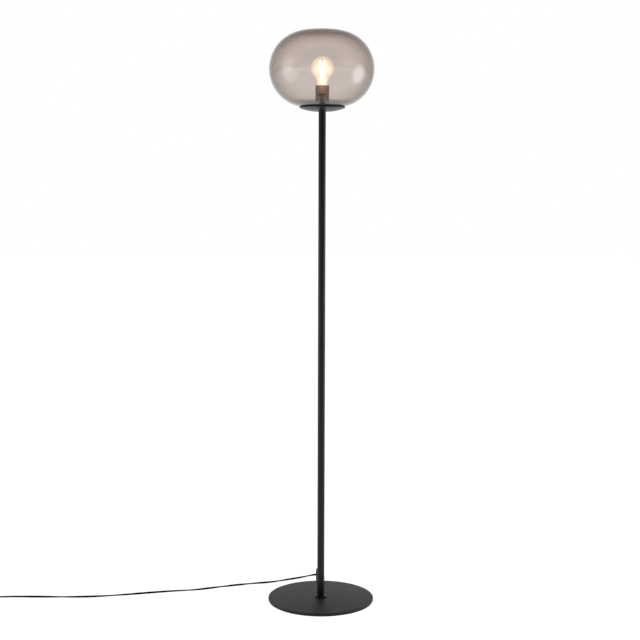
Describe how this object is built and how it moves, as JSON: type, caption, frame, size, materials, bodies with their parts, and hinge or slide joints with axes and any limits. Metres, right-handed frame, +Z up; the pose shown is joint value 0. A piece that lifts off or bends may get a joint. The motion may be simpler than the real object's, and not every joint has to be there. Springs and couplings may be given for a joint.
{
  "type": "floor lamp",
  "caption": "Floor lamp with an oval smoked-glass globe on a slim black pole, a round flat steel base and a lead with a foot switch.",
  "frame": {"origin": "centre of the round base on the floor", "axes": "+Z up along the pole, -Y to the front; the lead leaves the pole at the back and lies towards -X"},
  "size_m": [1.2538, 0.3554, 1.5],
  "materials": {
    "powder_coat": "black fine-texture powder coat",
    "base_foam": "closed-cell foam sheet",
    "zinc_steel": "zinc-plated steel",
    "lead_pvc": "black flexible PVC sheath",
    "bushing_plastic": "black moulded nylon",
    "smoked_glass": "blown grey-brown smoked glass",
    "gasket_rubber": "soft black rubber",
    "holder_plastic": "black thermoplastic",
    "contact_brass": "bright brass",
    "bulb_glass": "clear glass",
    "bulb_metal": "nickel-plated cap",
    "bulb_insulator": "black vitrified glass",
    "filament_coat": "yellow phosphor coat, lit",
    "core_insulation": "brown and blue PVC",
    "switch_plastic": "black moulded plastic, fine grain",
    "plug_pin_metal": "nickel-plated brass"
  },
  "bodies": {
    "stand": {"base_pad": "base_foam", "base_plate": "powder_coat", "base_screw": "zinc_steel", "centre_contact": "contact_brass", "cord_bushing": "bushing_plastic", "cord_clamps": "bushing_plastic", "cord_coil": "lead_pvc", "dish": "powder_coat", "dish_gasket": "gasket_rubber", "foot_collar": "powder_coat", "foot_plug": "zinc_steel", "grub_screw": "zinc_steel", "head_nipple": "zinc_steel", "head_nut": "zinc_steel", "head_washer": "zinc_steel", "holder_body": "holder_plastic", "holder_cap": "holder_plastic", "holder_cores": "core_insulation", "holder_sleeve": "powder_coat", "joint_stud": "zinc_steel", "locating_ring": "zinc_steel", "lower_joint_insert": "zinc_steel", "lower_pole": "powder_coat", "pin_sleeves": "bushing_plastic", "plug_body": "switch_plastic", "plug_cord": "lead_pvc", "plug_pins": "plug_pin_metal", "pole_cable": "lead_pvc", "pole_top_insert": "zinc_steel", "screw_shell": "contact_brass", "shell_contact": "contact_brass", "supply_cord": "lead_pvc", "switch_base": "switch_plastic", "switch_boots": "lead_pvc", "switch_cord": "lead_pvc", "switch_cores": "core_insulation", "switch_cover": "switch_plastic", "switch_screws": "zinc_steel", "switch_spring": "zinc_steel", "terminal_blocks": "contact_brass", "terminal_screws": "zinc_steel", "upper_joint_insert": "zinc_steel", "upper_pole": "powder_coat"},
    "globe": {"globe_glass": "smoked_glass"},
    "bulb_foot": {"bulb_tip": "contact_brass", "bulb_insulator": "bulb_insulator"},
    "bulb": {"bulb_envelope": "bulb_glass", "bulb_cap": "bulb_metal", "bulb_stem": "bulb_glass", "bulb_filaments": "filament_coat", "bulb_leads": "bulb_metal"},
    "foot_button": {"switch_button": "switch_plastic"}
  },
  "joints": [
    {"name": "globe_lift", "type": "slide", "parent": "stand", "child": "globe", "axis": [0, 0, 1], "range_m": [0, 0.16]},
    {"name": "bulb_lift", "type": "slide", "parent": "stand", "child": "bulb_foot", "axis": [0, 0, 1], "range_m": [0, 0.0182]},
    {"name": "bulb_turn", "type": "hinge", "parent": "bulb_foot", "child": "bulb", "pos_m": [0, 0, 1.343], "axis": [0, 0, 1], "range_deg": [0, 1800]},
    {"name": "foot_button", "type": "slide", "parent": "stand", "child": "foot_button", "axis": [0, 0, -1], "range_m": [0, 0.003], "stiffness_N_per_m": 300, "springref_m": -0.002, "deforming": ["switch_spring"]}
  ],
  "couplings": [
    {"joint": "bulb_lift", "follows": "bulb_turn", "m_per_rad": 0.00057757}
  ]
}
